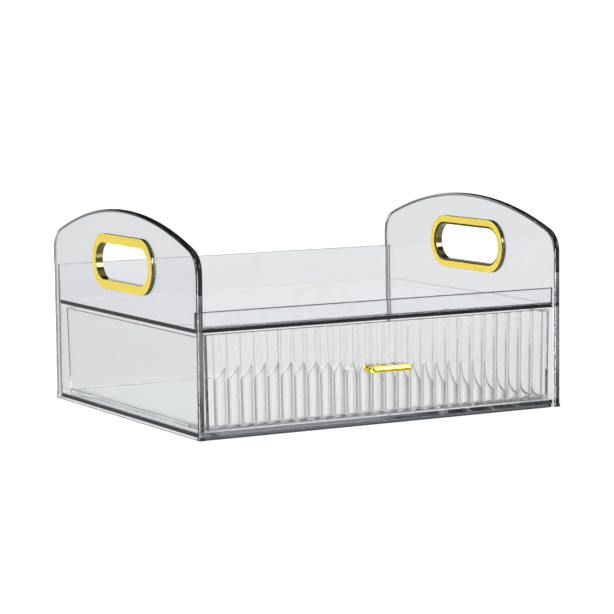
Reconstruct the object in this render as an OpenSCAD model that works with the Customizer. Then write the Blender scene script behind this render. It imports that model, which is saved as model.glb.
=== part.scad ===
// Clear desk organizer: a fluted drawer under an open tray, between two arched side panels.
// X runs from left to right, Y from front to back, Z up.
// The origin is on the surface that the organizer stands on, under the middle of its outline
// with the drawer closed, handle included.

/* [Case] */
// Width across both side panels
case_w = 300; // [240:1:360]
// Depth of the side panels from front to back
case_d = 250; // [220:1:300]
// Height of a side panel at the top of its arch
panel_h = 153; // [148:1:190]
// Thickness of a side panel
panel_t = 5; // [4:0.5:7]
// Radius of the arch over a side panel
arch_r = 324; // [260:1:500]
// Radius of the shoulders between the arch and the upright edges
shoulder_r = 18; // [8:1:24]

/* [Plates] */
// Thickness of the back, the base and the front lip
plate_t = 3; // [2:0.25:4]
// Thickness of the shelf that is the tray's floor
shelf_t = 3; // [2:0.25:4]
// Height of the shelf's upper face above the bottom of the side panels
shelf_top = 77.3; // [76.4:0.1:80]
// Height of the front lip above the shelf
lip_h = 11.7; // [6:0.1:20]
// Height of the back above the shelf
back_rise = 27.2; // [10:0.1:40]
// How far the plates' front edges stand behind the side panels' front edges
front_inset = 4; // [3:0.5:8]
// How far the back stands in front of the side panels' rear edges
back_inset = 7; // [3:0.5:10]
// How deep the plates are let into the side panels
groove_depth = 2.5; // [1:0.25:3]

/* [Base] */
// Height of the base's underside above the bottom of the side panels
base_rise = 2; // [1.4:0.1:2.6]
// Gap between the skirt under the base's front edge and the surface that the organizer stands on
skirt_gap = 0.3; // [0.2:0.1:1]
// How far the skirt stands behind the base's front edge
skirt_inset = 0.8; // [0:0.1:4]
// Width of each runner that the drawer slides on
runner_w = 8; // [4:1:16]
// Height of each runner above the base
runner_h = 0.5; // [0.3:0.1:0.8]

/* [Drawer] */
// Width of the drawer at its top edge
drawer_w = 286; // [226:1:286]
// Height of the drawer's front
front_h = 67.2; // [66:0.1:67.6]
// Height of the drawer's sides and back
side_h = 65.4; // [40:0.1:65.8]
// Thickness of the drawer's walls and floor
wall_t = 2; // [1.5:0.25:3]
// Inward lean of the sides and back, in degrees
draft = 1; // [0:0.25:2]
// Gap behind the drawer's back at its top edge
rear_gap = 4; // [2:0.5:20]

/* [Flutes] */
// Number of flutes across the drawer's front
flute_n = 26; // [6:1:34]
// Depth of a flute at its middle
flute_depth = 1.5; // [0.4:0.1:2.5]
// Width of the flat ridge between two flutes
flute_ridge = 0.6; // [0.2:0.1:2]
// Flat margin at each end of the fluted front, at the top edge
flute_margin = 5.5; // [4:0.5:12]
// Plain strip under the flutes
flute_foot = 0.6; // [0.4:0.1:6]

/* [Hand rings] */
// Length of a ring from end to end
ring_l = 104; // [80:1:120]
// Height of a ring
ring_h = 40.5; // [34:0.5:44]
// Height of a ring's centre above the bottom of the side panels
ring_z = 113.6; // [112:0.1:116]
// How far a ring's centre is in front of the middle of the panel
ring_forward = 2.5; // [0:0.5:8]
// Width of the band on the outer face
ring_band = 6.7; // [5:0.1:9]
// Thickness of the sleeve that joins the two halves
sleeve_t = 1.5; // [1:0.1:2]
// How far a ring stands out from each face of the panel
ring_proud = 0.75; // [0.5:0.05:1.5]
// How far a ring's flange laps over the edge of the hole
ring_lap = 0.7; // [0.3:0.1:1.5]

/* [Handle] */
// Length of the drawer's handle
handle_l = 34; // [30:1:60]
// How far the handle stands out from the fluted front
handle_out = 13; // [10:0.5:20]
// Thickness of the handle
handle_t = 4.2; // [3.8:0.1:8]
// Radius of the handle's outer corners
handle_r = 2.5; // [1:0.25:4]
// Height of the handle's middle above the drawer's underside
handle_rise = 34.8; // [15:0.1:50]
// Distance between the handle's two screws
screw_gap = 20; // [14:1:24]
// Radius of a screw's shank
screw_r = 1.1; // [0.9:0.05:1.2]

/* [Feet] */
// Radius of an anti-slip foot
foot_r = 5; // [3:0.5:8]
// How far a foot lifts the side panels off the surface
foot_lift = 1; // [0.5:0.1:2]
// Distance from a side panel to the middle of a foot
foot_inset = 13; // [9:1:30]

/* [Hidden] */
$fn = 96;

clear_plastic = [0.86, 0.89, 0.91, 0.35];
drawer_plastic = [0.80, 0.88, 0.90, 0.45];
soft_clear = [0.90, 0.92, 0.92, 0.6];
gold = [0.93, 0.74, 0.22];
steel = [0.60, 0.61, 0.63];

fit_gap = 0.05;
slide_gap = 0.3;
overshoot = 1;

// Heights, from the surface that the organizer stands on
back_z = foot_lift + 0.5;
base_z = foot_lift + base_rise;
base_top_z = base_z + plate_t;
runner_top_z = base_top_z + runner_h;
drawer_z = runner_top_z + slide_gap;
shelf_top_z = foot_lift + shelf_top;
shelf_z = shelf_top_z - shelf_t;
lip_z = shelf_top_z + fit_gap;
lip_top_z = shelf_top_z + lip_h;
back_top_z = shelf_top_z + back_rise;
ring_centre_z = foot_lift + ring_z;
handle_z = drawer_z + handle_rise;

// Places along Y: the handle's front and the panels' rear edges are equally far from the origin
outline_d = case_d + handle_out - front_inset;
panel_back_y = outline_d / 2;
panel_front_y = panel_back_y - case_d;
panel_mid_y = (panel_front_y + panel_back_y) / 2;
plates_front_y = panel_front_y + front_inset;
back_outer_y = panel_back_y - back_inset;
back_inner_y = back_outer_y - plate_t;
plates_back_y = back_inner_y - fit_gap;
ring_y = panel_mid_y - ring_forward;

// Places along X
panel_inner_x = case_w / 2 - panel_t;
plate_end_x = panel_inner_x + groove_depth - fit_gap;
groove_end_x = panel_inner_x + groove_depth;

// The shoulder's circle touches the upright edge and the arch
shoulder_y = case_d / 2 - shoulder_r;
arch_centre_z = panel_h - arch_r;
shoulder_z = arch_centre_z + sqrt(pow(arch_r - shoulder_r, 2) - pow(shoulder_y, 2));
arch_reach = 1.2;

// Drawer: its front and sides
drawer_back_y = back_inner_y - rear_gap;
flute_pitch = (drawer_w - 2 * flute_margin) / flute_n;
flute_half_w = (flute_pitch - flute_ridge) / 2;
flute_r = (pow(flute_half_w, 2) + pow(flute_depth, 2)) / (2 * flute_depth);

// Hand rings
hole_l = ring_l - 2 * ring_lap;
hole_h = ring_h - 2 * ring_lap;
body_l = hole_l - 2 * fit_gap;
body_h = hole_h - 2 * fit_gap;
opening_l = ring_l - 2 * ring_band;
opening_h = ring_h - 2 * ring_band;
sleeve_l = opening_l + 2 * sleeve_t;
sleeve_h = opening_h + 2 * sleeve_t;
sleeve_short = 0.6;

// Screws of the handle
screw_bore_r = screw_r + 0.05;
screw_head_r = 2 * screw_r;
screw_head_t = 1.2;
screw_in_handle = 7;
screw_hole_depth = 8;
front_inner_y = plates_front_y + flute_depth + wall_t;

// A rod along Y from y1 to y2
module rod_y(r, y1, y2) {
    translate([0, y2, 0]) rotate([90, 0, 0]) cylinder(r = r, h = y2 - y1, $fn = 48);
}

// A plate with its lower front left corner at (-half_x, y1, z1)
module plate(half_x, y1, y2, z1, z2) {
    translate([-half_x, y1, z1]) cube([2 * half_x, y2 - y1, z2 - z1]);
}

// Stands a flat outline, drawn with Y across and Z up, between x1 and x2
module across_x(x1, x2) {
    translate([x1, 0, 0]) rotate([90, 0, 90]) linear_extrude(height = x2 - x1) children();
}

// Slot shape with round ends
module stadium(length, height) {
    straight = length - height;
    square([straight, height], center = true);
    for (side = [-1, 1]) translate([side * straight / 2, 0]) circle(d = height);
}

module at_ring() {
    translate([ring_y, ring_centre_z]) children();
}

// Side panels

module panel_outline() {
    union() {
        translate([-case_d / 2, 0]) square([case_d, shoulder_z]);
        for (side = [-1, 1]) translate([side * shoulder_y, shoulder_z]) circle(r = shoulder_r);
        intersection() {
            translate([0, arch_centre_z]) circle(r = arch_r, $fn = 360);
            polygon([
                [-shoulder_y, shoulder_z],
                [-arch_reach * shoulder_y, arch_centre_z + arch_reach * (shoulder_z - arch_centre_z)],
                [arch_reach * shoulder_y, arch_centre_z + arch_reach * (shoulder_z - arch_centre_z)],
                [shoulder_y, shoulder_z],
            ]);
        }
    }
}

// Grooves that take the ends of all the plates, as one solid across the whole case
module plate_grooves() {
    plate(groove_end_x, plates_front_y - fit_gap, back_inner_y, base_z - fit_gap, base_top_z + fit_gap);
    plate(groove_end_x, plates_front_y - fit_gap, back_inner_y, shelf_z - fit_gap, lip_z);
    plate(groove_end_x, plates_front_y - fit_gap, plates_front_y + plate_t + fit_gap,
        shelf_z - fit_gap, lip_top_z + fit_gap);
    plate(groove_end_x, back_inner_y - fit_gap, back_outer_y + fit_gap,
        back_z - fit_gap, back_top_z + fit_gap);
}

module side_panel(side) {
    x1 = side > 0 ? panel_inner_x : -case_w / 2;
    color(clear_plastic) difference() {
        across_x(x1, x1 + panel_t) translate([panel_mid_y, foot_lift]) panel_outline();
        across_x(x1 - overshoot, x1 + panel_t + overshoot) at_ring() stadium(hole_l, hole_h);
        plate_grooves();
    }
}

module left_side_panel() {
    side_panel(-1);
}

module right_side_panel() {
    side_panel(1);
}

// Plates between the side panels

module base_panel() {
    runner_x = foot_inset + panel_t;
    runner_start = 8;
    color(clear_plastic) union() {
        plate(plate_end_x, plates_front_y, plates_back_y, base_z, base_top_z);
        plate(panel_inner_x - fit_gap, plates_front_y + skirt_inset,
            plates_front_y + skirt_inset + plate_t, skirt_gap, base_z + fit_gap);
        for (side = [-1, 1])
            translate([side * (panel_inner_x - runner_x), 0, 0])
                plate(runner_w / 2, plates_front_y + runner_start, plates_back_y,
                    base_top_z - fit_gap, runner_top_z);
    }
}

module back_panel() {
    color(clear_plastic) plate(plate_end_x, back_inner_y, back_outer_y, back_z, back_top_z);
}

module shelf_panel() {
    color(clear_plastic) plate(plate_end_x, plates_front_y, plates_back_y, shelf_z, shelf_top_z);
}

module front_lip() {
    color(clear_plastic)
        plate(plate_end_x, plates_front_y, plates_front_y + plate_t, lip_z, lip_top_z);
}

// Hand rings: the outer half has a sleeve that plugs into the inner half

// Both halves are drawn for the right side, where the panel runs from panel_inner_x to case_w / 2
module outer_ring() {
    split_x = case_w / 2 - panel_t / 2;
    color(gold) difference() {
        union() {
            across_x(case_w / 2, case_w / 2 + ring_proud) at_ring() stadium(ring_l, ring_h);
            across_x(split_x, case_w / 2 + fit_gap) at_ring() stadium(body_l, body_h);
            across_x(panel_inner_x - ring_proud + sleeve_short, split_x + fit_gap)
                at_ring() stadium(sleeve_l, sleeve_h);
        }
        across_x(panel_inner_x - overshoot, case_w / 2 + ring_proud + overshoot)
            at_ring() stadium(opening_l, opening_h);
    }
}

module inner_ring() {
    split_x = case_w / 2 - panel_t / 2;
    color(gold) difference() {
        union() {
            across_x(panel_inner_x - ring_proud, panel_inner_x) at_ring() stadium(ring_l, ring_h);
            across_x(panel_inner_x - fit_gap, split_x - fit_gap) at_ring() stadium(body_l, body_h);
        }
        across_x(panel_inner_x - ring_proud - overshoot, split_x + overshoot)
            at_ring() stadium(sleeve_l + 2 * fit_gap, sleeve_h + 2 * fit_gap);
    }
}

module right_outer_ring() {
    outer_ring();
}

module right_inner_ring() {
    inner_ring();
}

module left_outer_ring() {
    mirror([1, 0, 0]) outer_ring();
}

module left_inner_ring() {
    mirror([1, 0, 0]) inner_ring();
}

// Anti-slip feet under the base

module foot(side_x, side_y) {
    foot_x = side_x * (panel_inner_x - foot_inset);
    foot_y = side_y > 0 ? plates_back_y - foot_inset : plates_front_y + foot_inset;
    color(soft_clear) translate([foot_x, foot_y, 0]) cylinder(r = foot_r, h = base_z - fit_gap);
}

module front_left_foot() {
    foot(-1, -1);
}

module front_right_foot() {
    foot(1, -1);
}

module back_left_foot() {
    foot(-1, 1);
}

module back_right_foot() {
    foot(1, 1);
}

// Drawer

// Cross-section of the drawer's space at a wall's thickness inside its outer faces
module drawer_section(inset, bottom, top) {
    lean = tan(draft);
    half_top = drawer_w / 2 - inset + (top - front_h) * lean;
    half_bottom = drawer_w / 2 - inset + (bottom - front_h) * lean;
    polygon([[-half_bottom, bottom], [half_bottom, bottom], [half_top, top], [-half_top, top]]);
}

// Tapered block from front_y to a leaning back, up to the height top above the drawer's underside
module drawer_block(inset, front_y, bottom, top) {
    back_top = drawer_back_y - inset + (top - side_h) * tan(draft);
    back_bottom = drawer_back_y - inset + (bottom - side_h) * tan(draft);
    intersection() {
        translate([0, drawer_back_y + overshoot, 0]) rotate([90, 0, 0])
            linear_extrude(height = drawer_back_y + overshoot - front_y)
                drawer_section(inset, bottom, top);
        across_x(-drawer_w / 2, drawer_w / 2)
            polygon([[front_y, bottom], [back_bottom, bottom], [back_top, top], [front_y, top]]);
    }
}

// Front wall, which is taller than the sides
module drawer_front() {
    translate([0, front_inner_y, 0]) rotate([90, 0, 0])
        linear_extrude(height = front_inner_y - plates_front_y) drawer_section(0, 0, front_h);
}

// Row of upright scallops to cut from the front
module flutes() {
    for (i = [0:flute_n - 1])
        translate([(i - (flute_n - 1) / 2) * flute_pitch, plates_front_y + flute_depth - flute_r, flute_foot])
            cylinder(r = flute_r, h = front_h - flute_foot + overshoot);
}

module drawer_box() {
    color(drawer_plastic) translate([0, 0, drawer_z]) difference() {
        union() {
            drawer_block(0, plates_front_y, 0, side_h);
            drawer_front();
        }
        flutes();
        drawer_block(wall_t, front_inner_y, wall_t, side_h + overshoot);
        at_screws() translate([0, 0, handle_rise])
            rod_y(screw_bore_r, plates_front_y - overshoot, front_inner_y + overshoot);
    }
}

module at_screws() {
    for (side = [-1, 1]) translate([side * screw_gap / 2, 0, 0]) children();
}

module drawer_handle() {
    back_y = plates_front_y - fit_gap;
    front_y = plates_front_y - handle_out;
    corner_x = handle_l / 2 - handle_r;
    color(gold) difference() {
        translate([0, 0, handle_z - handle_t / 2]) linear_extrude(height = handle_t) union() {
            translate([-handle_l / 2, front_y + handle_r])
                square([handle_l, back_y - front_y - handle_r]);
            translate([-corner_x, front_y]) square([2 * corner_x, handle_r + fit_gap]);
            for (side = [-1, 1])
                translate([side * corner_x, front_y + handle_r]) circle(r = handle_r);
        }
        at_screws() translate([0, 0, handle_z])
            rod_y(screw_bore_r, back_y - screw_hole_depth, back_y + overshoot);
    }
}

module handle_screws() {
    head_y = front_inner_y + fit_gap;
    color(steel) at_screws() translate([0, 0, handle_z]) union() {
        rod_y(screw_r, plates_front_y - screw_in_handle, head_y + fit_gap);
        rod_y(screw_head_r, head_y, head_y + screw_head_t);
    }
}

left_side_panel();
right_side_panel();
base_panel();
back_panel();
shelf_panel();
front_lip();
left_outer_ring();
left_inner_ring();
right_outer_ring();
right_inner_ring();
front_left_foot();
front_right_foot();
back_left_foot();
back_right_foot();
drawer_box();
drawer_handle();
handle_screws();
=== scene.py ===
"""Looks of a clear desk organizer: fluted drawer, open tray, arched sides and gold-rimmed hand holes."""

import math

import bmesh
import bpy
from mathutils import Matrix, Vector


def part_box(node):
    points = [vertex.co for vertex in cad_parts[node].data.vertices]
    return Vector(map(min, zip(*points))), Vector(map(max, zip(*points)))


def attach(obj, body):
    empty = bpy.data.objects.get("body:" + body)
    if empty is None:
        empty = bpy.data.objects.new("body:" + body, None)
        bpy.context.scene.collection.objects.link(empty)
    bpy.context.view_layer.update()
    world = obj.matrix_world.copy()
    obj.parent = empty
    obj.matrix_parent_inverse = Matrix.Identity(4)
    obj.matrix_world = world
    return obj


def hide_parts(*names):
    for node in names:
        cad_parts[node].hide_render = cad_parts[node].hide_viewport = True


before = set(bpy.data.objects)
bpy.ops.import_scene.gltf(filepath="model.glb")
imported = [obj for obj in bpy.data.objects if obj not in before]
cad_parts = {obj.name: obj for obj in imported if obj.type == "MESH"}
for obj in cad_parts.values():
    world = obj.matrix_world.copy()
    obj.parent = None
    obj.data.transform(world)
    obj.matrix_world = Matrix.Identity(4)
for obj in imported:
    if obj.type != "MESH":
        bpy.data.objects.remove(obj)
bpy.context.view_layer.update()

MM = 0.001
FIT_GAP = 0.05 * MM
HAIR = 0.01 * MM

# Side panels: near the floor their edges are sharp, and above BLEND_H they are fully rounded
ARCH_R = 324 * MM
SHOULDER_R = 18 * MM
EDGE_R = 2.3 * MM
FOOT_EDGE_R = 0.3 * MM
BLEND_H = 3 * MM
# Where the side panels' dark edge lines are painted, as painted shade: depth from the face, width at the
# crest, and how far below the top the painted front edge stops
EDGE_LINE_DEPTH = 0.3 * MM
EDGE_CREST_W = 0.25 * MM
FRONT_FLAT_DROP = 35 * MM

# Plates
PLATE_BEVEL = 0.15 * MM
SHELF_BEVEL = 0.4 * MM
BACK_BEVEL = 0.5 * MM
LIP_BEVEL = 0.8 * MM
SKIRT_BEVEL = 0.5 * MM
BASE_T = 3 * MM
SKIRT_INSET = 0.8 * MM
RUNNER_W = 8 * MM
RUNNER_H = 0.5 * MM
RUNNER_START = 8 * MM
RUNNER_INSET = 18 * MM

# Drawer
DRAFT = math.tan(math.radians(1))
WALL_T = 2 * MM
FLUTE_N = 26
FLUTE_STEPS = 28
FLUTE_DEPTH = 1.5 * MM
FLUTE_RIDGE = 0.6 * MM
RIDGE_BLUR = 0.3 * MM
FLUTE_MARGIN = 5.5 * MM
FLUTE_FOOT = 0.6 * MM
FLUTE_START = 0.15 * MM
STEP_GAP = 0.1 * MM
STEP_W = 0.3 * MM
SIDE_DROP = 1.8 * MM
RIM_R = 0.4 * MM
BOTTOM_R = 0.5 * MM
FLOOR_R = 1.5 * MM
CORNER_R = 2.1 * MM

# Handle and its screws
HANDLE_CORNER_R = 2.5 * MM
HANDLE_EDGE_R = 0.4 * MM
HANDLE_CROWN_R = 8 * MM
SCREW_GAP = 20 * MM
SCREW_R = 1.1 * MM
SCREW_HEAD_T = 1.2 * MM
RECESS_L = 1.3 * MM
RECESS_W = 0.28 * MM
RECESS_DEPTH = 0.55 * MM

# Feet
TREAD_H = 0.9 * MM

# Hand rings
RING_BAND = 6.7 * MM
SLEEVE_T = 1.5 * MM
RING_PROUD = 0.75 * MM
RING_LAP = 0.7 * MM
RING_EDGE = 0.3 * MM
RING_STEPS = 28
RING_PRESS = 0.05 * MM


# ---------------------------------------------------------------- mesh helpers

def finish_mesh(bm, name, sharp_deg=35):
    """Makes an object of bm: smooth, but for sharp edges where it turns by more than sharp_deg."""
    bmesh.ops.remove_doubles(bm, verts=bm.verts, dist=1e-7)
    bmesh.ops.recalc_face_normals(bm, faces=bm.faces)
    for face in bm.faces:
        face.smooth = True
    for edge in bm.edges:
        edge.smooth = edge.is_manifold and edge.calc_face_angle(0) < math.radians(sharp_deg)
    mesh = bpy.data.meshes.new(name)
    bm.to_mesh(mesh)
    bm.free()
    piece = bpy.data.objects.new(name, mesh)
    bpy.context.scene.collection.objects.link(piece)
    return piece


def weigh_normals(piece):
    """Lets large flat faces keep flat shading beside rounded edges."""
    weighted = piece.modifiers.new("weighted_normals", "WEIGHTED_NORMAL")
    weighted.mode = "FACE_AREA"
    weighted.weight = 100
    weighted.keep_sharp = True
    return piece


def bevelled_box(bm, low, high, bevel=PLATE_BEVEL, segments=2):
    """Adds a box between two corners, with rounded edges."""
    low, high = Vector(low), Vector(high)
    made = bmesh.ops.create_cube(bm, size=1.0)["verts"]
    for vert in made:
        vert.co = Vector(((l + h) / 2 + c * (h - l)) for l, h, c in zip(low, high, vert.co))
    edges = list({edge for vert in made for edge in vert.link_edges})
    if bevel:
        bmesh.ops.bevel(bm, geom=edges, offset=bevel, segments=segments, profile=0.5, affect="EDGES")


def skin_loops(bm, loops, closed=False):
    """Joins closed loops of points one after the other with quads, and caps the two ends unless closed."""
    rings = [[bm.verts.new(p) for p in loop] for loop in loops]
    count = len(rings[0])
    pairs = list(zip(rings, rings[1:])) + ([(rings[-1], rings[0])] if closed else [])
    for a, b in pairs:
        for i in range(count):
            j = (i + 1) % count
            bm.faces.new((a[i], a[j], b[j], b[i]))
    if not closed:
        bm.faces.new(rings[0][::-1])
        bm.faces.new(rings[-1])


def arc(centre, radius, start, end, steps):
    """Points on an arc in a plane, from angle start to angle end in degrees."""
    angles = [math.radians(start + (end - start) * i / steps) for i in range(steps + 1)]
    return [(centre[0] + radius * math.cos(a), centre[1] + radius * math.sin(a)) for a in angles]


def circle(centre, radius, steps):
    """Points round a full circle in a plane."""
    return arc(centre, radius, 0, 360 - 360 / steps, steps - 1)


def outward(points):
    """Mitred outward directions at the points of a closed anticlockwise outline.

    Moving every point along its direction by a distance moves every edge out by that distance.
    """
    result = []
    for i, here in enumerate(points):
        before, after = points[i - 1], points[(i + 1) % len(points)]
        a = Vector((here[0] - before[0], here[1] - before[1])).normalized()
        b = Vector((after[0] - here[0], after[1] - here[1])).normalized()
        na, nb = Vector((a.y, -a.x)), Vector((b.y, -b.x))
        middle = (na + nb).normalized()
        result.append(middle / max(middle.dot(na), 0.3))
    return result


def stadium(centre, length, height, steps=20):
    """Anticlockwise slot outline with round ends."""
    half = (length - height) / 2
    right = arc((centre[0] + half, centre[1]), height / 2, -90, 90, steps)
    left = arc((centre[0] - half, centre[1]), height / 2, 90, 270, steps)
    return right + left


def combine(piece, others, operation="DIFFERENCE"):
    """Cuts the other solids from piece, or adds them, and returns the result's bmesh."""
    for other in others:
        boolean = piece.modifiers.new("combine", "BOOLEAN")
        boolean.operation = operation
        boolean.solver = "EXACT"
        boolean.object = other
        bpy.context.view_layer.update()
        evaluated = piece.evaluated_get(bpy.context.evaluated_depsgraph_get())
        mesh = bpy.data.meshes.new_from_object(evaluated)
        piece.modifiers.clear()
        piece.data = mesh
        bpy.data.objects.remove(other)
    bm = bmesh.new()
    bm.from_mesh(piece.data)
    bpy.data.objects.remove(piece)
    return bm


# ---------------------------------------------------------------- side panels

def arch_centres(half, top):
    """Height of the arch's centre, and distance from the middle and height of the shoulders' centres."""
    arch_z = top - ARCH_R
    shoulder_y = half - SHOULDER_R
    shoulder_z = arch_z + math.sqrt((ARCH_R - SHOULDER_R) ** 2 - shoulder_y ** 2)
    return arch_z, shoulder_y, shoulder_z


def panel_outline(front, back, bottom, top):
    """Outline of a side panel in Y and Z with the edge radius at each point."""
    middle = (front + back) / 2
    arch_z, shoulder_y, shoulder_z = arch_centres((back - front) / 2, top)
    lean = math.degrees(math.atan2(shoulder_z - arch_z, shoulder_y))
    points = [(front, bottom), (back, bottom)]
    points += arc((middle + shoulder_y, shoulder_z), SHOULDER_R, 0, lean, 14)
    points += arc((middle, arch_z), ARCH_R, lean, 180 - lean, 60)[1:-1]
    points += arc((middle - shoulder_y, shoulder_z), SHOULDER_R, 180 - lean, 180, 14)
    radii = [FOOT_EDGE_R, FOOT_EDGE_R] + [EDGE_R] * (len(points) - 2)
    blend_z = bottom + BLEND_H
    points.insert(2, (back, blend_z))
    radii.insert(2, EDGE_R)
    points.append((front, blend_z))
    radii.append(EDGE_R)
    return points, radii


def side_panel(node):
    """Arched panel with rounded edges, a hand hole and the grooves of the plates."""
    low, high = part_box(node)
    centre_x = (low.x + high.x) / 2
    half_t = (high.x - low.x) / 2
    points, radii = panel_outline(low.y, high.y, low.z, high.z)
    normals = outward(points)
    loops = []
    steps = 12
    for k in range(steps + 1):
        turn = math.pi * k / steps
        loop = []
        for point, normal, radius in zip(points, normals, radii):
            inset = radius * (1 - math.sin(turn))
            x = centre_x + math.copysign(half_t - radius, math.cos(turn)) + radius * math.cos(turn)
            if k * 2 == steps:
                x = centre_x
            loop.append((x, point[0] - normal.x * inset, point[1] - normal.y * inset))
        loops.append(loop)
    bm = bmesh.new()
    skin_loops(bm, loops)
    piece = finish_mesh(bm, node + "_shell")
    bm = combine(piece, panel_cutters(node))
    return weigh_normals(finish_mesh(bm, node + "_shell"))


def panel_edge_line(node):
    """Test for the faces of a side panel's painted dark edge lines, which are painted shade: where the
    rounding starts, and its crest, but not up the front.
    """
    low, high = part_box(node)
    middle = (low + high) / 2
    half = (high.y - low.y) / 2
    arch_z, shoulder_y, shoulder_z = arch_centres(half, high.z)

    def inside_by(y, z):
        """Distance from a point to the panel's outline."""
        y = abs(y - middle.y)
        if y > shoulder_y and z > shoulder_z:
            return SHOULDER_R - math.hypot(y - shoulder_y, z - shoulder_z)
        return min(half - y, ARCH_R - math.hypot(y, z - arch_z))

    def chosen(polygon):
        at = polygon.center
        depth = (high.x - low.x) / 2 - abs(at.x - middle.x)
        start = HAIR < depth < EDGE_LINE_DEPTH
        crest = inside_by(at.y, at.z) < EDGE_CREST_W
        front_edge = at.y < low.y + EDGE_R and at.z < shoulder_z
        return at.z > low.z + BLEND_H and not front_edge and (start or crest)

    return chosen


def front_edge_face(node):
    """Test for the flat of a side panel's front edge, painted darker or lighter than the rest of the panel.
    """
    low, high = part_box(node)
    flat_low, flat_high = low.x + EDGE_R + HAIR, high.x - EDGE_R - HAIR

    def chosen(polygon):
        at = polygon.center
        on_flat = flat_low < at.x < flat_high and at.y < low.y + FIT_GAP
        return on_flat and at.z < high.z - FRONT_FLAT_DROP

    return chosen


def panel_cutters(node):
    """Solids of the hand hole and of the plate grooves of a side panel."""
    side = node.split("_")[0]
    ring_low, ring_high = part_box(side + "_inner_ring")
    panel_low, panel_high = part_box(node)
    centre = ((ring_low.y + ring_high.y) / 2, (ring_low.z + ring_high.z) / 2)
    length = ring_high.y - ring_low.y - 2 * RING_LAP
    height = ring_high.z - ring_low.z - 2 * RING_LAP
    hole = stadium(centre, length, height, RING_STEPS)
    bm = bmesh.new()
    skin_loops(bm, [[(x, y, z) for y, z in hole] for x in (panel_low.x - MM, panel_high.x + MM)])
    cutters = [finish_mesh(bm, "cutter")]
    gap = Vector((FIT_GAP,) * 3)
    for plate_node in ("base_panel", "shelf_panel", "front_lip", "back_panel"):
        low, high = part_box(plate_node)
        if plate_node == "base_panel":
            high.z -= RUNNER_H
            low.z = high.z - BASE_T
        reach = gap.copy()
        if plate_node != "back_panel":
            reach.x = -FIT_GAP / 2
        bm = bmesh.new()
        bevelled_box(bm, low - reach, high + reach, bevel=0)
        cutters.append(finish_mesh(bm, "cutter"))
    return cutters


# ---------------------------------------------------------------- plates

def plate(node, bevel):
    """Flat plate with softened edges."""
    bm = bmesh.new()
    bevelled_box(bm, *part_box(node), bevel, 3)
    return weigh_normals(finish_mesh(bm, node + "_sheet"))


def paint(piece, material, chosen):
    """Gives the faces for which chosen is true a material of their own."""
    piece.data.materials.append(material)
    for polygon in piece.data.polygons:
        if chosen(polygon):
            polygon.material_index = len(piece.data.materials) - 1


def shade_plate_ends(piece):
    """Paints a plate's two end faces near-black, as painted shade where light is trapped at the joints with
    the side panels.
    """
    end_x = max(vert.co.x for vert in piece.data.vertices)
    paint(piece, JOINT_SHADE, lambda polygon: abs(polygon.center.x) > end_x - 0.6 * PLATE_BEVEL)


def bevelled(polygon):
    """Whether a plate's face is part of a rounded edge."""
    return max(abs(value) for value in polygon.normal) < 0.98


def box_piece(low, high, bevel=PLATE_BEVEL):
    """Box as an object of its own, to be combined with another."""
    bm = bmesh.new()
    bevelled_box(bm, low, high, bevel)
    return finish_mesh(bm, "box")


def base_panel():
    """Base plate with two low runners on top and a skirt under its front edge."""
    low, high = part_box("base_panel")
    inner_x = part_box("right_side_panel")[0].x
    top_z = high.z - RUNNER_H
    under_z = top_z - BASE_T
    sheet = box_piece((low.x, low.y, under_z), (high.x, high.y, top_z))
    runners = []
    for side in (-1, 1):
        middle = side * (inner_x - RUNNER_INSET)
        runners.append(box_piece(
            (middle - RUNNER_W / 2, low.y + RUNNER_START, top_z - MM),
            (middle + RUNNER_W / 2, high.y - MM, high.z),
        ))
    bm = combine(sheet, runners, "UNION")
    skirt_low = Vector((FIT_GAP - inner_x, low.y + SKIRT_INSET, low.z))
    skirt_high = Vector((inner_x - FIT_GAP, skirt_low.y + BASE_T, under_z - FIT_GAP))
    bevelled_box(bm, skirt_low, skirt_high, SKIRT_BEVEL, 3)
    return weigh_normals(finish_mesh(bm, "base_sheet"))


# ---------------------------------------------------------------- drawer

def scallop(off, pitch):
    """Depth of a flute at a distance from its middle, with softened ridges."""
    half_w = (pitch - FLUTE_RIDGE) / 2
    radius = (half_w ** 2 + FLUTE_DEPTH ** 2) / (2 * FLUTE_DEPTH)
    depths = []
    for k in range(-2, 3):
        at = abs(off + k * RIDGE_BLUR / 2)
        at = min(at, pitch - at)
        depths.append(max(math.sqrt(max(radius ** 2 - at ** 2, 0)) - (radius - FLUTE_DEPTH), 0))
    return sum(depths) / len(depths)


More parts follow.
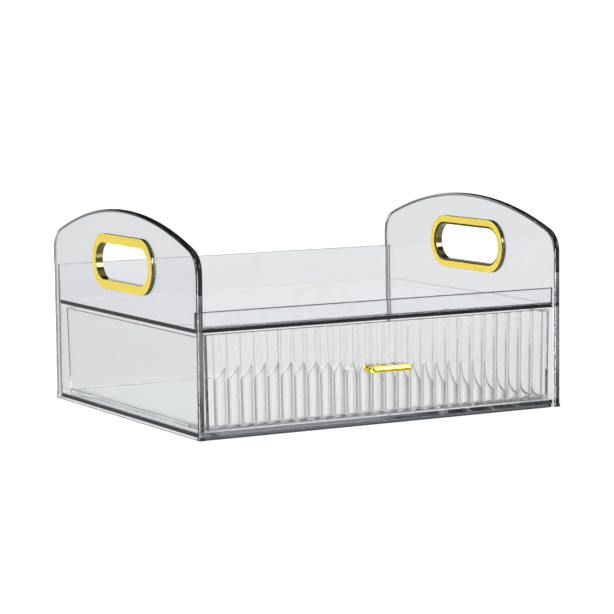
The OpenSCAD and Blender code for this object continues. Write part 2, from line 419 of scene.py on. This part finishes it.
def drawer_outlines(low, high):
    """The drawer's plan at its top edge, anticlockwise.

    Returns the outside without and with flutes, the inside, and whether each point is on the taller front.
    """
    plain, fluted, inner, at_front = [], [], [], []
    half, corner_x = high.x, high.x - CORNER_R
    inner_r = CORNER_R - WALL_T
    inner_y = low.y + FLUTE_DEPTH + WALL_T
    step_y = inner_y + inner_r + STEP_GAP

    def add(point, inside, front_part, depth=0.0):
        """Adds a point of the outside, set back by depth where it is fluted, and its point inside."""
        plain.append(Vector(point))
        fluted.append(Vector((point[0], point[1] + depth)))
        inner.append(Vector(inside))
        at_front.append(front_part)

    def turn(x, y, inside_y, start, front_part):
        """Adds a quarter turn around (x, y), and the one inside it around (x, inside_y)."""
        outside = arc((x, y), CORNER_R, start, start + 90, 6)
        inside = arc((x, inside_y), inner_r, start, start + 90, 6)
        for point, within in zip(outside, inside):
            add(point, within, front_part)

    for y, front_part in ((step_y + STEP_W, False), (step_y, True)):
        add((-half, y), (-half + WALL_T, y), front_part)
    turn(-corner_x, low.y + CORNER_R, inner_y + inner_r, 180, True)
    span = 2 * (half - FLUTE_MARGIN)
    pitch = span / FLUTE_N
    last = FLUTE_N * FLUTE_STEPS
    for i in range(last + 1):
        x = span * (i / last - 0.5)
        depth = scallop(pitch * (i / FLUTE_STEPS % 1 - 0.5), pitch) if 0 < i < last else 0
        add((x, low.y), (x, inner_y), True, depth)
    turn(corner_x, low.y + CORNER_R, inner_y + inner_r, 270, True)
    for y, front_part in ((step_y, True), (step_y + STEP_W, False)):
        add((half, y), (half - WALL_T, y), front_part)
    turn(corner_x, high.y - CORNER_R, high.y - CORNER_R, 0, False)
    turn(-corner_x, high.y - CORNER_R, high.y - CORNER_R, 90, False)
    return plain, fluted, inner, at_front


def quarter(steps):
    """Sines and cosines of the angles from 0 to 90 degrees, in equal steps."""
    turns = [math.pi / 2 * k / steps for k in range(steps + 1)]
    return [(math.sin(turn), math.cos(turn)) for turn in turns]


def drawer_shell():
    """Drawer box: a fluted front, sides and back that lean inwards, and rounded rims and corners."""
    low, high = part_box("drawer_box")
    plain, fluted, inner, at_front = drawer_outlines(low, high)
    tall = high.z - low.z
    middle_y = (low.y + high.y) / 2

    def place(point, height):
        """The plan's point at a height above the drawer's underside, moved in by the lean of the walls."""
        x = point.x * (1 - (tall - height) * DRAFT / high.x)
        back = max(0.0, (point.y - middle_y) / (high.y - middle_y))
        return (x, point.y - back * (tall - SIDE_DROP - height) * DRAFT, low.z + height)

    def loop(outline, heights, toward=None, inset=0.0):
        """The outline at one height or at a list of them, moved by inset toward another outline."""
        points = []
        for i, point in enumerate(outline):
            if toward is not None:
                way = toward[i] - point
                point = point + way * min(1.0, inset / way.length)
            points.append(place(point, heights[i] if isinstance(heights, list) else heights))
        return points

    rims = [tall if front_part else tall - SIDE_DROP for front_part in at_front]
    loops = [loop(plain, BOTTOM_R * (1 - c), inner, BOTTOM_R * (1 - s)) for s, c in quarter(4)]
    loops.append(loop(plain, FLUTE_FOOT))
    loops.append(loop(fluted, FLUTE_FOOT + FLUTE_START))
    for s, c in quarter(3):
        loops.append(loop(fluted, [r - RIM_R * (1 - s) for r in rims], inner, RIM_R * (1 - c)))
    for s, c in quarter(3)[::-1]:
        loops.append(loop(inner, [r - RIM_R * (1 - s) for r in rims], fluted, RIM_R * (1 - c)))
    for s, c in quarter(5):
        inset = FLOOR_R * (1 - c)
        points = []
        for point in inner:
            x = math.copysign(max(abs(point.x) - inset, 0), point.x)
            y = point.y + (inset if point.y < middle_y else -inset)
            points.append(place(Vector((x, y)), WALL_T + FLOOR_R * (1 - s)))
        loops.append(points)
    bm = bmesh.new()
    skin_loops(bm, loops)
    return finish_mesh(bm, "drawer_shell")


def drawer_edges():
    """Test for the faces of the drawer's rounded rims, corners and bottom edge, which get the painted dark
    edge shade.
    """
    low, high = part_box("drawer_box")

    def chosen(polygon):
        centre, normal = polygon.center, polygon.normal
        lean = (high.z - centre.z) * DRAFT
        at_side = abs(centre.x) > high.x - lean - CORNER_R
        at_end = centre.y < low.y + CORNER_R or centre.y > high.y - lean - CORNER_R
        corner = at_side and at_end and min(abs(normal.x), abs(normal.y)) > 0.2
        rim = normal.z > 0.2 and centre.z > high.z - SIDE_DROP - 2 * RIM_R
        bottom = -0.95 < normal.z < -0.2 and centre.z < low.z + BOTTOM_R
        return corner or rim or bottom

    return chosen


def rod_y(x, z, radius, y1, y2, steps=32):
    """Round rod along Y."""
    bm = bmesh.new()
    skin_loops(bm, [[(p, y, q) for p, q in circle((x, z), radius, steps)] for y in (y1, y2)])
    return finish_mesh(bm, "rod")


def drawer_piece():
    """Drawer box with the two holes for the handle's screws."""
    shell = drawer_shell()
    low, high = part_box("handle_screws")
    front_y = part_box("drawer_box")[0].y
    bores = [
        rod_y(side * SCREW_GAP / 2, (low.z + high.z) / 2, SCREW_R + FIT_GAP,
              front_y - MM, high.y - SCREW_HEAD_T + 0.5 * MM)
        for side in (-1, 1)
    ]
    return weigh_normals(finish_mesh(combine(shell, bores), "drawer_shell"))


# ---------------------------------------------------------------- handle, screws and feet

def handle_bar():
    """Solid bar with rounded front corners, softened edges and a front that leans back towards the top."""
    low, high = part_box("drawer_handle")
    r, back_r = HANDLE_CORNER_R, 0.3 * MM
    outline = arc((low.x + r, low.y + r), r, 180, 270, 8)
    outline += arc((high.x - r, low.y + r), r, 270, 360, 8)
    outline += arc((high.x - back_r, high.y - back_r), back_r, 0, 90, 3)
    outline += arc((low.x + back_r, high.y - back_r), back_r, 90, 180, 3)
    normals = outward(outline)
    half = (high.z - low.z) / 2
    edge = HANDLE_EDGE_R
    levels = []
    for k in range(6):
        turn = math.radians(90 - 90 * k / 5)
        levels.append((low.z + edge * (1 - math.sin(turn)), edge * (1 - math.cos(turn))))
    crown = HANDLE_CROWN_R - edge
    rise = 2 * half - 2 * edge
    turn_top = math.asin(rise / crown)
    for k in range(1, 9):
        turn = turn_top * k / 8
        levels.append((low.z + edge + crown * math.sin(turn), crown * (1 - math.cos(turn))))
    top_inset = crown * (1 - math.cos(turn_top))
    for k in range(1, 6):
        turn = turn_top + (math.pi / 2 - turn_top) * k / 5
        up = (math.sin(turn) - math.sin(turn_top)) / (1 - math.sin(turn_top))
        levels.append((high.z - edge + edge * up, top_inset + edge * (math.cos(turn_top) - math.cos(turn))))
    bm = bmesh.new()
    skin_loops(bm, [[(p[0] - n.x * inset, p[1] - n.y * inset, z) for p, n in zip(outline, normals)]
                    for z, inset in levels])
    return weigh_normals(finish_mesh(bm, "handle_bar"))


def lathe_loops(profile, steps, place):
    """Loops of a turned solid: profile lists (radius, along), place maps (u, v, along) to a point."""
    loops = []
    for radius, along in profile:
        loops.append([place(u, v, along) for u, v in circle((0, 0), radius, steps)])
    return loops


def handle_screws_pair():
    """Two pan-head screws with a cross recess, seen behind the drawer's clear front."""
    low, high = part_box("handle_screws")
    z = (low.z + high.z) / 2
    head_r = (high.z - low.z) / 2
    seat = high.y - SCREW_HEAD_T
    tip = low.y
    dome = [(head_r * math.cos(t), seat + 0.35 * SCREW_HEAD_T + 0.65 * SCREW_HEAD_T * math.sin(t))
            for t in (math.radians(90 * k / 8) for k in range(8))]
    profile = [(0.25 * SCREW_R, tip), (0.85 * SCREW_R, tip + 0.6 * MM), (SCREW_R, tip + 1.0 * MM),
               (SCREW_R, seat), (head_r, seat)] + dome + [(0.12 * head_r, high.y)]
    pieces = []
    for side in (-1, 1):
        x = side * SCREW_GAP / 2
        bm = bmesh.new()
        skin_loops(bm, lathe_loops(profile, 40, lambda u, v, y: (x + u, y, z - v)))
        screw = finish_mesh(bm, "screw")
        recess = []
        for wide, tall in ((RECESS_L, RECESS_W), (RECESS_W, RECESS_L)):
            recess_low = (x - wide, high.y - RECESS_DEPTH, z - tall)
            recess_high = (x + wide, high.y + MM, z + tall)
            recess.append(box_piece(recess_low, recess_high, 0))
        pieces.append(finish_mesh(combine(screw, recess), "screw"))
    both = bmesh.new()
    for piece in pieces:
        both.from_mesh(piece.data)
        bpy.data.objects.remove(piece)
    return finish_mesh(both, "handle_screws_pair")


def foot_pad(node):
    """Clear rubber pad with a domed tread and a softened upper edge."""
    low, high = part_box(node)
    x, y = (low.x + high.x) / 2, (low.y + high.y) / 2
    radius = (high.x - low.x) / 2
    profile = [(radius * 0.55, low.z), (radius * 0.72, low.z + 0.06 * MM)]
    profile += [(radius * (0.82 + 0.18 * s), low.z + 0.1 * MM + TREAD_H * (1 - c)) for s, c in quarter(5)]
    profile += [(radius, high.z - 0.3 * MM), (radius - 0.1 * MM, high.z - 0.08 * MM)]
    profile.append((radius - 0.3 * MM, high.z))
    bm = bmesh.new()
    skin_loops(bm, lathe_loops(profile, 48, lambda u, v, z: (x + u, y + v, z)))
    return weigh_normals(finish_mesh(bm, node + "_pad"))


# ---------------------------------------------------------------- hand rings

def rounded(profile, radius, steps=3):
    """Rounds every corner of a closed profile, by at most a third of the shorter side beside it."""
    result = []
    for i, here in enumerate(profile):
        here = Vector(here)
        before, after = Vector(profile[i - 1]), Vector(profile[(i + 1) % len(profile)])
        reach = min(radius, (here - before).length / 3, (after - here).length / 3)
        a = here + (before - here).normalized() * reach
        b = here + (after - here).normalized() * reach
        for k in range(steps + 1):
            t = k / steps
            result.append((1 - t) ** 2 * a + 2 * t * (1 - t) * here + t ** 2 * b)
    return result


def ring_half(node):
    """Half of a hand ring: a flat band on the panel's face with a wall through the hole."""
    low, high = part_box(node)
    side = -1 if node.startswith("left") else 1
    panel_low, panel_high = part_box(node.split("_")[0] + "_side_panel")
    outer_x = max(abs(panel_low.x), abs(panel_high.x))
    inner_x = min(abs(panel_low.x), abs(panel_high.x))
    split_x = (outer_x + inner_x) / 2
    body = RING_LAP - RING_PRESS
    if "outer" in node:
        band_x = outer_x + RING_PROUD
        sleeve_end = min(abs(low.x), abs(high.x))
        sleeve_out = RING_BAND - SLEEVE_T
        profile = [(0, outer_x), (0, band_x), (RING_BAND, band_x), (RING_BAND, sleeve_end),
                   (sleeve_out, sleeve_end), (sleeve_out, split_x), (body, split_x), (body, outer_x)]
    else:
        inside = RING_BAND - SLEEVE_T - FIT_GAP
        profile = [(0, inner_x), (0, inner_x - RING_PROUD), (inside, inner_x - RING_PROUD),
                   (inside, split_x - FIT_GAP), (body, split_x - FIT_GAP), (body, inner_x)]
    centre = (low + high) / 2
    length, height = high.y - low.y, high.z - low.z
    loops = []
    for inset, x in rounded(profile, RING_EDGE):
        outline = stadium(centre.yz, length - 2 * inset, height - 2 * inset, RING_STEPS)
        loops.append([(side * x, y, z) for y, z in outline])
    bm = bmesh.new()
    skin_loops(bm, loops, closed=True)
    piece = weigh_normals(finish_mesh(bm, node + "_band"))
    # Only the flat faces show the gold; the walls get a darker gold, and the band's rounded edges and hidden
    # body near-black, as painted shade
    for material in (GOLD_FACE, GOLD_WALL_SHADE, PAINTED_RING_SHADE):
        piece.data.materials.append(material)
    face, wall, body_shade = range(3)
    for polygon in piece.data.polygons:
        at, normal = polygon.center, polygon.normal
        depth = min(abs(abs(at.x) - x) for x in (low.x, high.x, -low.x, -high.x))
        buried = inner_x < abs(at.x) < outer_x
        away = normal.yz.dot(at.yz - centre.yz) > 0
        sleeve = "outer" in node and abs(at.x) < inner_x
        at_band = depth < RING_EDGE and not sleeve
        if at_band and abs(normal.x) > 0.9:
            polygon.material_index = face
        elif at_band or buried and away:
            polygon.material_index = body_shade
        else:
            polygon.material_index = wall
    return piece


# ---------------------------------------------------------------- materials

def new_material(name):
    """A node material, with its nodes, its links and its main shader."""
    material = bpy.data.materials.new(name)
    material.use_nodes = True
    nodes = material.node_tree.nodes
    return material, nodes, material.node_tree.links, nodes["Principled BSDF"]


def noise(nodes, links, scale, detail):
    """Noise in the object's own space, in metres."""
    place = nodes.new("ShaderNodeTexCoord")
    texture = nodes.new("ShaderNodeTexNoise")
    texture.inputs["Scale"].default_value = scale
    texture.inputs["Detail"].default_value = detail
    links.new(place.outputs["Object"], texture.inputs["Vector"])
    return texture.outputs[0]


def spread(nodes, links, source, low, high):
    """Maps a noise, which stays mostly between 0.3 and 0.7, to the range from low to high."""
    ranged = nodes.new("ShaderNodeMapRange")
    ranged.inputs["From Min"].default_value = 0.3
    ranged.inputs["From Max"].default_value = 0.7
    ranged.inputs["To Min"].default_value = low
    ranged.inputs["To Max"].default_value = high
    links.new(source, ranged.inputs["Value"])
    return ranged.outputs["Result"]


def relief(nodes, links, shader, source, distance):
    """Fine relief of a given height in metres."""
    bump = nodes.new("ShaderNodeBump")
    bump.inputs["Strength"].default_value = 1.0
    bump.inputs["Distance"].default_value = distance
    links.new(source, bump.inputs["Height"])
    links.new(bump.outputs["Normal"], shader.inputs["Normal"])


PLASTIC_IOR = 1.5
# What is left of the light behind a sheet of clear plastic
SHADOW_TINT = (0.95, 0.96, 0.96)


def clear_plastic(name, tint, absorb, density, wave_scale, wave, haze):
    """Clear plastic with a surface tint, a tint that shows in its depth, slight waves and uneven haze."""
    material, nodes, links, shader = new_material(name)
    shader.inputs["Base Color"].default_value = (*tint, 1)
    shader.inputs["Transmission Weight"].default_value = 1.0
    shader.inputs["IOR"].default_value = PLASTIC_IOR
    links.new(spread(nodes, links, noise(nodes, links, 180, 6), 0.0, haze), shader.inputs["Roughness"])
    relief(nodes, links, shader, noise(nodes, links, wave_scale, 1.0), wave)
    volume = nodes.new("ShaderNodeVolumeAbsorption")
    volume.inputs["Color"].default_value = (*absorb, 1)
    volume.inputs["Density"].default_value = density
    output = nodes["Material Output"]
    links.new(volume.outputs[0], output.inputs["Volume"])
    path = nodes.new("ShaderNodeLightPath")
    passing = nodes.new("ShaderNodeBsdfTransparent")
    passing.inputs["Color"].default_value = (*SHADOW_TINT, 1)
    mix = nodes.new("ShaderNodeMixShader")
    links.new(path.outputs["Is Shadow Ray"], mix.inputs[0])
    links.new(shader.outputs[0], mix.inputs[1])
    links.new(passing.outputs[0], mix.inputs[2])
    links.new(mix.outputs[0], output.inputs["Surface"])
    return material


def metal(name, base, rough_low, rough_high, scale, bump, metallic=1.0):
    """Metal with fine grain in its roughness and relief."""
    material, nodes, links, shader = new_material(name)
    shader.inputs["Base Color"].default_value = (*base, 1)
    shader.inputs["Metallic"].default_value = metallic
    grain = noise(nodes, links, scale, 5)
    links.new(spread(nodes, links, grain, rough_low, rough_high), shader.inputs["Roughness"])
    relief(nodes, links, shader, grain, bump)
    return material


def soft_rubber(name):
    """Clear soft rubber with a matt skin."""
    material, nodes, links, shader = new_material(name)
    shader.inputs["Base Color"].default_value = (0.93, 0.94, 0.94, 1)
    shader.inputs["Transmission Weight"].default_value = 0.85
    shader.inputs["IOR"].default_value = 1.42
    grain = noise(nodes, links, 900, 6)
    links.new(spread(nodes, links, grain, 0.25, 0.45), shader.inputs["Roughness"])
    relief(nodes, links, shader, grain, 0.00005)
    return material


def dress(piece, material):
    """Gives a piece one material."""
    piece.data.materials.clear()
    piece.data.materials.append(material)


# ---------------------------------------------------------------- studio

def math_node(nodes, links, operation, a, b):
    """A maths node whose two inputs are sockets or numbers. Returns its output."""
    node = nodes.new("ShaderNodeMath")
    node.operation = operation
    for slot, value in zip(node.inputs, (a, b)):
        if isinstance(value, (int, float)):
            slot.default_value = value
        else:
            links.new(value, slot)
    return node.outputs[0]


def pick(nodes, links, factor, off, on):
    """Goes from one value to another, sockets or numbers, as a factor goes from 0 to 1."""
    choose = nodes.new("ShaderNodeMix")
    choose.data_type = "FLOAT"
    links.new(factor, choose.inputs["Factor"])
    for name, value in (("A", off), ("B", on)):
        if isinstance(value, (int, float)):
            choose.inputs[name].default_value = value
        else:
            links.new(value, choose.inputs[name])
    return choose.outputs["Result"]


def ramp(nodes, links, source, start, end, level):
    """Smooth rise from 0 at start to level at end."""
    ranged = nodes.new("ShaderNodeMapRange")
    ranged.interpolation_type = "SMOOTHSTEP"
    ranged.inputs["From Min"].default_value = start
    ranged.inputs["From Max"].default_value = end
    ranged.inputs["To Min"].default_value = 0.0
    ranged.inputs["To Max"].default_value = level
    links.new(source, ranged.inputs["Value"])
    return ranged.outputs["Result"]


def patch(nodes, links, place, direction, inner, outer, level):
    """Round soft-edged patch of the surroundings."""
    dot = nodes.new("ShaderNodeVectorMath")
    dot.operation = "DOT_PRODUCT"
    dot.inputs[1].default_value = Vector(direction).normalized()
    links.new(place, dot.inputs[0])
    outer_cos, inner_cos = (math.cos(math.radians(angle)) for angle in (outer, inner))
    return ramp(nodes, links, dot.outputs["Value"], outer_cos, inner_cos, level)


CAMERA_AT = Vector((-0.9081, -1.6640, 0.2829))
CAMERA_YAW = math.radians(28.66)
CAMERA_PITCH = math.radians(6.29)
CAMERA_ROLL = math.radians(-0.64)
CAMERA_LENS = 148.1


def make_camera():
    """Camera at the place and angle of the photograph's."""
    ahead = Vector((
        math.sin(CAMERA_YAW) * math.cos(CAMERA_PITCH),
        math.cos(CAMERA_YAW) * math.cos(CAMERA_PITCH),
        -math.sin(CAMERA_PITCH),
    ))
    level = Vector((math.cos(CAMERA_YAW), -math.sin(CAMERA_YAW), 0))
    upright = level.cross(ahead)
    c, s = math.cos(CAMERA_ROLL), math.sin(CAMERA_ROLL)
    right, up = c * level + s * upright, c * upright - s * level
    data = bpy.data.cameras.new("camera")
    data.lens = CAMERA_LENS
    data.sensor_width = 36
    data.clip_end = 100
    camera = bpy.data.objects.new("camera", data)
    turn = Matrix((right, up, -ahead)).transposed().to_4x4()
    camera.matrix_world = Matrix.Translation(CAMERA_AT) @ turn
    bpy.context.scene.collection.objects.link(camera)
    bpy.context.scene.camera = camera


# Light added to the paper for the camera alone
FLOOR_LIFT = 0.6
# Strength of the backdrop for the camera
BACKDROP_SEEN = 1.05
# Seen through the plastic: light paper, and behind the organizer a light backdrop in a dark frame, lightest
# above the horizon. Below, the paper is light all around, and high up there is a dark wall.
# A patch is (direction, inner angle, outer angle, radiance), and a ramp is (start, end, radiance) by height.
PAPER = 0.80
BACKDROP = [
    ((0.48, 0.87, -0.12), 42, 54, -0.53),
    ((0.48, 0.87, -0.12), 15, 24, 0.54),
    ((0.48, 0.87, 0.14), 3, 12, 0.12),
]
PAPER_BELOW = (-0.2, -0.32, 0.82)
WALL_START = (0.15, 0.23)
WALL = 0.05
# Seen in reflections and by rough surfaces: dim walls, a wider backdrop, paper below, and the same dark wall
DIM = 0.48
BACKDROP_GLOSS = ((0.48, 0.87, -0.05), 22, 40, 0.34)
PAPER_SEEN = (-0.2, -0.4, 0.5)
# Seen by both: a light ceiling, and soft boxes in front, at the left and high at the left
CEILING = (0.76, 0.86, 0.6)
BOXES = [
    ((0.43, -0.79, 0.45), 10, 13, 11.0),
    ((-0.88, -0.47, -0.08), 9, 16, 17.0),
    ((-0.93, 0.05, 0.36), 10, 17, 9.0),
]


def make_floor():
    """Pale paper that the camera sees as light as the backdrop. The plastic doesn't mirror or refract it."""
    bm = bmesh.new()
    bmesh.ops.create_grid(bm, x_segments=1, y_segments=1, size=30)
    floor = finish_mesh(bm, "floor")
    material, nodes, links, shader = new_material("floor_paper")
    shader.inputs["Base Color"].default_value = (0.93, 0.93, 0.93, 1)
    shader.inputs["Roughness"].default_value = 1.0
    shader.inputs["Specular IOR Level"].default_value = 0.0
    shader.inputs["Emission Color"].default_value = (1, 1, 1, 1)
    path = nodes.new("ShaderNodeLightPath")
    lift = math_node(nodes, links, "MULTIPLY", path.outputs["Is Camera Ray"], FLOOR_LIFT)
    links.new(lift, shader.inputs["Emission Strength"])
    dress(floor, material)
    floor.visible_glossy = False
    floor.visible_transmission = False


def make_world():
    """White backdrop for the camera, and light and dark areas around the organizer for every other ray."""
    world = bpy.data.worlds.new("studio")
    bpy.context.scene.world = world
    world.use_nodes = True
    nodes, links = world.node_tree.nodes, world.node_tree.links
    place = nodes.new("ShaderNodeTexCoord").outputs["Generated"]
    parts = nodes.new("ShaderNodeSeparateXYZ")
    links.new(place, parts.inputs[0])
    height = parts.outputs["Z"]
    wall = ramp(nodes, links, height, *WALL_START, 1.0)
    through = PAPER
    for light in BACKDROP:
        through = math_node(nodes, links, "ADD", through, patch(nodes, links, place, *light))
    through = math_node(nodes, links, "MAXIMUM", through, ramp(nodes, links, height, *PAPER_BELOW))
    through = pick(nodes, links, wall, through, WALL)
    mirrored = math_node(nodes, links, "ADD", patch(nodes, links, place, *BACKDROP_GLOSS), DIM)
    mirrored = math_node(nodes, links, "ADD", mirrored, ramp(nodes, links, height, *PAPER_SEEN))
    mirrored = pick(nodes, links, wall, mirrored, WALL)
    path = nodes.new("ShaderNodeLightPath")
    total = pick(nodes, links, path.outputs["Is Transmission Ray"], mirrored, through)
    total = math_node(nodes, links, "ADD", total, ramp(nodes, links, height, *CEILING))
    for box in BOXES:
        total = math_node(nodes, links, "ADD", total, patch(nodes, links, place, *box))
    strength = pick(nodes, links, path.outputs["Is Camera Ray"], total, BACKDROP_SEEN)
    background = nodes["Background"]
    background.inputs["Color"].default_value = (1, 1, 1, 1)
    links.new(strength, background.inputs["Strength"])


def set_view():
    """Plain colours, and enough bounces for light that stays inside the plastic for long."""
    scene = bpy.context.scene
    scene.view_settings.view_transform = "Standard"
    scene.cycles.max_bounces = 96
    scene.cycles.transmission_bounces = 64
    scene.cycles.glossy_bounces = 64
    scene.cycles.transparent_max_bounces = 32


# ---------------------------------------------------------------- the organizer

make_camera()
make_floor()
make_world()
set_view()

SIDE_TINT = (0.972, 0.982, 1.0)
DRAWER_TINT = (0.996, 1.0, 0.990)
# Tints of the dark edge lines: painted shade along rims and rounded edges, softer on the back panel
EDGE_SHADE_TINT = (0.15, 0.16, 0.17)
SOFT_EDGE_SHADE_TINT = (0.40, 0.42, 0.44)
# Colour that each kind of plastic takes on in its depth
SIDE_DEPTH = (0.585, 0.60, 0.62)
PLATE_DEPTH = (0.59, 0.60, 0.61)
SKIRT_SHADE_DEPTH = (0.57, 0.59, 0.61)
DRAWER_DEPTH = (0.57, 0.61, 0.60)
# Surfaces of polished sheet, moulded plastic and matt edges: scale and height of the waves, and haze
SHEET = (14, 0.00002, 0.012)
MOULDED = (22, 0.00003, 0.015)
MATT = (22, 0.00003, 0.9)
# The shelf and the base are denser-absorbing copies of the side panels' sheet: painted shade that darkens
# their edges and ends
SIDE_PLASTIC = clear_plastic("side_plastic", SIDE_TINT, SIDE_DEPTH, 6, *SHEET)
PLATE_PLASTIC = clear_plastic("plate_plastic", SIDE_TINT, PLATE_DEPTH, 40, *SHEET)
BASE_PLASTIC = clear_plastic("base_plastic", SIDE_TINT, PLATE_DEPTH, 11, *SHEET)
# The skirt's plastic absorbs so densely that it shows near-black: painted shade under the base's front edge
SKIRT_SHADE_PLASTIC = clear_plastic("skirt_painted_shade", SIDE_TINT, SKIRT_SHADE_DEPTH, 1400, *SHEET)
DRAWER_PLASTIC = clear_plastic("drawer_plastic", DRAWER_TINT, DRAWER_DEPTH, 3, *MOULDED)
EDGE_SHADE_PLASTIC = clear_plastic("painted_edge_shade", EDGE_SHADE_TINT, PLATE_DEPTH, 11, *SHEET)
MATT_EDGE_PLASTIC = clear_plastic("matt_edge", (1, 1, 1), PLATE_DEPTH, 6, *MATT)
# Grey tint for the back panel's rounded edges: a softer painted edge shade
SOFT_EDGE_SHADE_PLASTIC = clear_plastic("painted_soft_edge_shade", SOFT_EDGE_SHADE_TINT, PLATE_DEPTH, 11, *MOULDED)
# Near-black for the plate ends and the skirt's lower rounded edges: painted shade at the joints and a
# painted contact-shadow line along the floor
JOINT_SHADE = metal("painted_joint_shade", (0.008, 0.009, 0.010), 0.4, 0.6, 300, 0.000002)
GOLD = metal("gold_plating", (0.98, 0.74, 0.06), 0.06, 0.14, 260, 0.000004)
GOLD_FACE = metal("gold_plating_faces", (1.0, 0.79, 0.10), 0.3, 0.42, 260, 0.000004, 0.4)
# Darker copies of the gold plating for the rings' walls, and near-black for their hidden body and rounded
# band edges: painted shade
GOLD_WALL_SHADE = metal("gold_walls_painted_shade", (0.17, 0.155, 0.07), 0.1, 0.2, 260, 0.000004)
PAINTED_RING_SHADE = metal("ring_body_shade", (0.012, 0.011, 0.008), 0.45, 0.65, 400, 0.000004)
STEEL = metal("screw_zinc", (0.62, 0.63, 0.65), 0.22, 0.38, 900, 0.00001)
RUBBER = soft_rubber("foot_rubber")


def fit(piece, node, body, material=None):
    """Puts a piece in the place of its CAD node, on a body, under a material slot."""
    if material:
        dress(piece, material)
    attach(piece, body)
    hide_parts(node)


for node in ("left_side_panel", "right_side_panel"):
    piece = side_panel(node)
    fit(piece, node, "case", SIDE_PLASTIC)
    # Painted dark edge lines along the panel's rounding, as painted shade
    paint(piece, EDGE_SHADE_PLASTIC, panel_edge_line(node))
    # The left front edge gets the dark painted edge shade and the right one a matt white edge: a shaded and
    # a lit copy of the same mirrored edge
    paint(piece, EDGE_SHADE_PLASTIC if node == "left_side_panel" else MATT_EDGE_PLASTIC, front_edge_face(node))
for node, bevel, material in (
    ("back_panel", BACK_BEVEL, SIDE_PLASTIC),
    ("shelf_panel", SHELF_BEVEL, PLATE_PLASTIC),
    ("front_lip", LIP_BEVEL, SIDE_PLASTIC),
):
    piece = plate(node, bevel)
    fit(piece, node, "case", material)
    # Rounded edges of the plates get the painted dark edge shade, softer on the back panel, and the shelf
    # and lip ends the painted joint shade
    if node == "back_panel":
        paint(piece, SOFT_EDGE_SHADE_PLASTIC, bevelled)
    else:
        paint(piece, EDGE_SHADE_PLASTIC, bevelled)
        shade_plate_ends(piece)
piece = base_panel()
fit(piece, "base_panel", "case", BASE_PLASTIC)
# Skirt: dense dark plastic as painted shade under the base, with a near-black painted contact-shadow line
# along its lower rounded edges
skirt_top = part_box("base_panel")[1].z - RUNNER_H - BASE_T
paint(piece, SKIRT_SHADE_PLASTIC, lambda polygon: polygon.center.z < skirt_top - HAIR)
paint(piece, EDGE_SHADE_PLASTIC, lambda polygon: bevelled(polygon) and polygon.center.z > skirt_top)
paint(piece, JOINT_SHADE, lambda polygon: bevelled(polygon) and polygon.center.z < skirt_top - MM)
shade_plate_ends(piece)
for node in ("left_outer_ring", "left_inner_ring", "right_outer_ring", "right_inner_ring"):
    fit(ring_half(node), node, "case")
for node in ("front_left_foot", "front_right_foot", "back_left_foot", "back_right_foot"):
    fit(foot_pad(node), node, "case", RUBBER)
piece = drawer_piece()
fit(piece, "drawer_box", "drawer", DRAWER_PLASTIC)
# Painted dark edge shade on the drawer's rims, corners and bottom edge
paint(piece, EDGE_SHADE_PLASTIC, drawer_edges())
fit(handle_bar(), "drawer_handle", "drawer", GOLD)
fit(handle_screws_pair(), "handle_screws", "drawer", STEEL)
